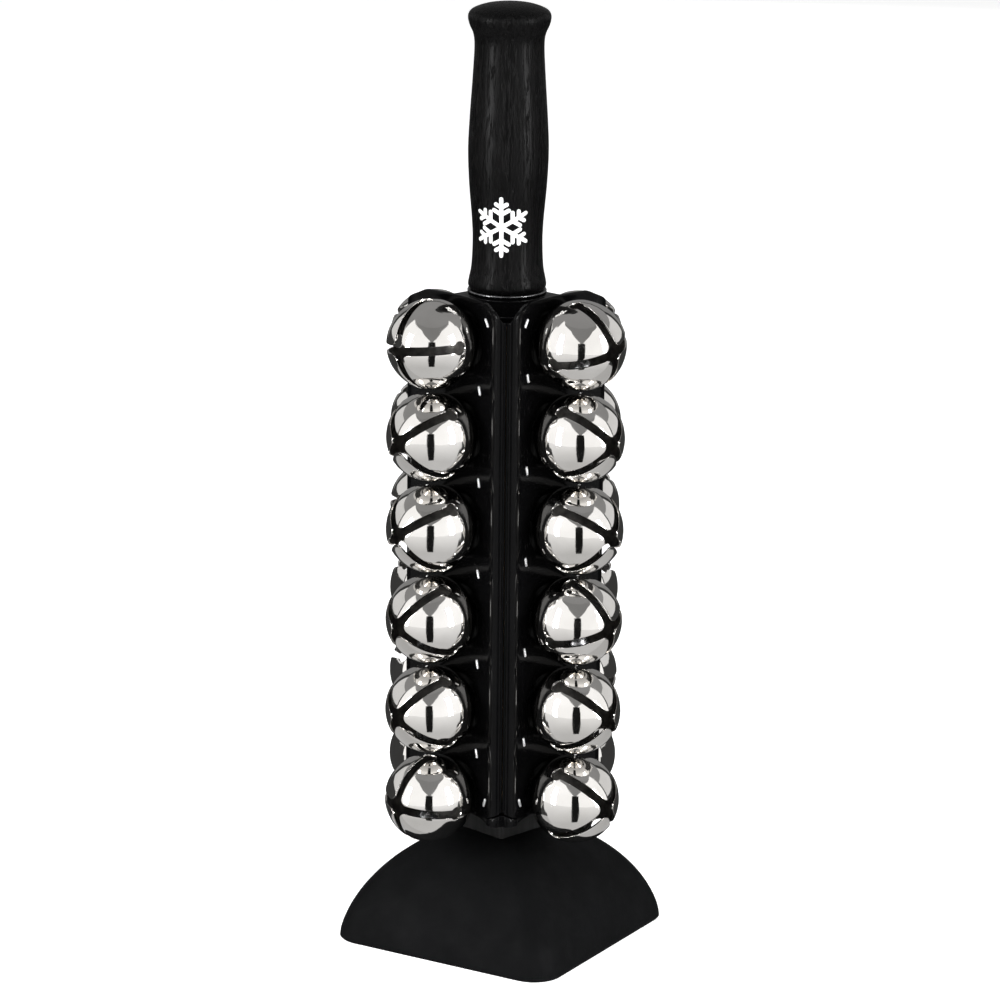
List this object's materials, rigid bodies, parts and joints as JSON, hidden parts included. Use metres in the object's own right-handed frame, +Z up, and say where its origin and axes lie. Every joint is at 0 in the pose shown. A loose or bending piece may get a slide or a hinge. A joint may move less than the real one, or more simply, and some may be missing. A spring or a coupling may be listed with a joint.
{
  "type": "sleigh bells",
  "caption": "Free-standing hand sleigh bells: a turned wooden handle on a square black column, with round slotted jingle bells down each side and a domed rubber foot.",
  "frame": {"origin": "middle of the foot's underside, which is the bottom centre of the object's box", "axes": "+Z up along the handle; the column's four faces look along -Y (front), +X (right), +Y (back) and -X (left); the foot is turned 14 degrees about +Z against them"},
  "size_m": [0.1086, 0.1086, 0.351],
  "materials": {
    "black_wood": "black stain, satin, open grain",
    "gloss_black": "moulded, polished",
    "nickel": "bright nickel plate on stamped steel",
    "matte_rubber": "matte",
    "pellet_steel": "tumbled",
    "steel": "zinc plated",
    "dark_metal": "black, worn bright on its edge",
    "bare_wood": "planed, unfinished"
  },
  "bodies": {
    "foot": {"foot": "matte_rubber", "foot_washer": "steel"},
    "stick": {"handle_grip": "black_wood", "collar_ring": "dark_metal", "top_cap": "gloss_black", "core_post": "bare_wood", "bottom_plate": "gloss_black", "foot_screw": "steel", "side_panel_front": "gloss_black", "side_panel_right": "gloss_black", "side_panel_back": "gloss_black", "side_panel_left": "gloss_black", "bell_front_1": "nickel", "bell_front_2": "nickel", "bell_front_3": "nickel", "bell_front_4": "nickel", "bell_front_5": "nickel", "bell_front_6": "nickel", "bell_right_1": "nickel", "bell_right_2": "nickel", "bell_right_3": "nickel", "bell_right_4": "nickel", "bell_right_5": "nickel", "bell_right_6": "nickel", "bell_back_1": "nickel", "bell_back_2": "nickel", "bell_back_3": "nickel", "bell_back_4": "nickel", "bell_back_5": "nickel", "bell_back_6": "nickel", "bell_left_1": "nickel", "bell_left_2": "nickel", "bell_left_3": "nickel", "bell_left_4": "nickel", "bell_left_5": "nickel", "bell_left_6": "nickel"},
    "pellet_front_1": {"pellet_front_1": "pellet_steel"},
    "pellet_front_2": {"pellet_front_2": "pellet_steel"},
    "pellet_front_3": {"pellet_front_3": "pellet_steel"},
    "pellet_front_4": {"pellet_front_4": "pellet_steel"},
    "pellet_front_5": {"pellet_front_5": "pellet_steel"},
    "pellet_front_6": {"pellet_front_6": "pellet_steel"},
    "pellet_right_1": {"pellet_right_1": "pellet_steel"},
    "pellet_right_2": {"pellet_right_2": "pellet_steel"},
    "pellet_right_3": {"pellet_right_3": "pellet_steel"},
    "pellet_right_4": {"pellet_right_4": "pellet_steel"},
    "pellet_right_5": {"pellet_right_5": "pellet_steel"},
    "pellet_right_6": {"pellet_right_6": "pellet_steel"},
    "pellet_back_1": {"pellet_back_1": "pellet_steel"},
    "pellet_back_2": {"pellet_back_2": "pellet_steel"},
    "pellet_back_3": {"pellet_back_3": "pellet_steel"},
    "pellet_back_4": {"pellet_back_4": "pellet_steel"},
    "pellet_back_5": {"pellet_back_5": "pellet_steel"},
    "pellet_back_6": {"pellet_back_6": "pellet_steel"},
    "pellet_left_1": {"pellet_left_1": "pellet_steel"},
    "pellet_left_2": {"pellet_left_2": "pellet_steel"},
    "pellet_left_3": {"pellet_left_3": "pellet_steel"},
    "pellet_left_4": {"pellet_left_4": "pellet_steel"},
    "pellet_left_5": {"pellet_left_5": "pellet_steel"},
    "pellet_left_6": {"pellet_left_6": "pellet_steel"}
  },
  "joints": [
    {"name": "foot_swivel", "type": "hinge", "parent": "foot", "child": "stick", "pos_m": [0, 0, 0.04], "axis": [0, 0, 1], "continuous": true},
    {"name": "pellet_front_1_rise", "type": "slide", "parent": "stick", "child": "pellet_front_1", "axis": [0, 0, 1], "range_m": [0, 0.018]},
    {"name": "pellet_front_2_rise", "type": "slide", "parent": "stick", "child": "pellet_front_2", "axis": [0, 0, 1], "range_m": [0, 0.018]},
    {"name": "pellet_front_3_rise", "type": "slide", "parent": "stick", "child": "pellet_front_3", "axis": [0, 0, 1], "range_m": [0, 0.018]},
    {"name": "pellet_front_4_rise", "type": "slide", "parent": "stick", "child": "pellet_front_4", "axis": [0, 0, 1], "range_m": [0, 0.018]},
    {"name": "pellet_front_5_rise", "type": "slide", "parent": "stick", "child": "pellet_front_5", "axis": [0, 0, 1], "range_m": [0, 0.018]},
    {"name": "pellet_front_6_rise", "type": "slide", "parent": "stick", "child": "pellet_front_6", "axis": [0, 0, 1], "range_m": [0, 0.018]},
    {"name": "pellet_right_1_rise", "type": "slide", "parent": "stick", "child": "pellet_right_1", "axis": [0, 0, 1], "range_m": [0, 0.018]},
    {"name": "pellet_right_2_rise", "type": "slide", "parent": "stick", "child": "pellet_right_2", "axis": [0, 0, 1], "range_m": [0, 0.018]},
    {"name": "pellet_right_3_rise", "type": "slide", "parent": "stick", "child": "pellet_right_3", "axis": [0, 0, 1], "range_m": [0, 0.018]},
    {"name": "pellet_right_4_rise", "type": "slide", "parent": "stick", "child": "pellet_right_4", "axis": [0, 0, 1], "range_m": [0, 0.018]},
    {"name": "pellet_right_5_rise", "type": "slide", "parent": "stick", "child": "pellet_right_5", "axis": [0, 0, 1], "range_m": [0, 0.018]},
    {"name": "pellet_right_6_rise", "type": "slide", "parent": "stick", "child": "pellet_right_6", "axis": [0, 0, 1], "range_m": [0, 0.018]},
    {"name": "pellet_back_1_rise", "type": "slide", "parent": "stick", "child": "pellet_back_1", "axis": [0, 0, 1], "range_m": [0, 0.018]},
    {"name": "pellet_back_2_rise", "type": "slide", "parent": "stick", "child": "pellet_back_2", "axis": [0, 0, 1], "range_m": [0, 0.018]},
    {"name": "pellet_back_3_rise", "type": "slide", "parent": "stick", "child": "pellet_back_3", "axis": [0, 0, 1], "range_m": [0, 0.018]},
    {"name": "pellet_back_4_rise", "type": "slide", "parent": "stick", "child": "pellet_back_4", "axis": [0, 0, 1], "range_m": [0, 0.018]},
    {"name": "pellet_back_5_rise", "type": "slide", "parent": "stick", "child": "pellet_back_5", "axis": [0, 0, 1], "range_m": [0, 0.018]},
    {"name": "pellet_back_6_rise", "type": "slide", "parent": "stick", "child": "pellet_back_6", "axis": [0, 0, 1], "range_m": [0, 0.018]},
    {"name": "pellet_left_1_rise", "type": "slide", "parent": "stick", "child": "pellet_left_1", "axis": [0, 0, 1], "range_m": [0, 0.018]},
    {"name": "pellet_left_2_rise", "type": "slide", "parent": "stick", "child": "pellet_left_2", "axis": [0, 0, 1], "range_m": [0, 0.018]},
    {"name": "pellet_left_3_rise", "type": "slide", "parent": "stick", "child": "pellet_left_3", "axis": [0, 0, 1], "range_m": [0, 0.018]},
    {"name": "pellet_left_4_rise", "type": "slide", "parent": "stick", "child": "pellet_left_4", "axis": [0, 0, 1], "range_m": [0, 0.018]},
    {"name": "pellet_left_5_rise", "type": "slide", "parent": "stick", "child": "pellet_left_5", "axis": [0, 0, 1], "range_m": [0, 0.018]},
    {"name": "pellet_left_6_rise", "type": "slide", "parent": "stick", "child": "pellet_left_6", "axis": [0, 0, 1], "range_m": [0, 0.018]}
  ]
}
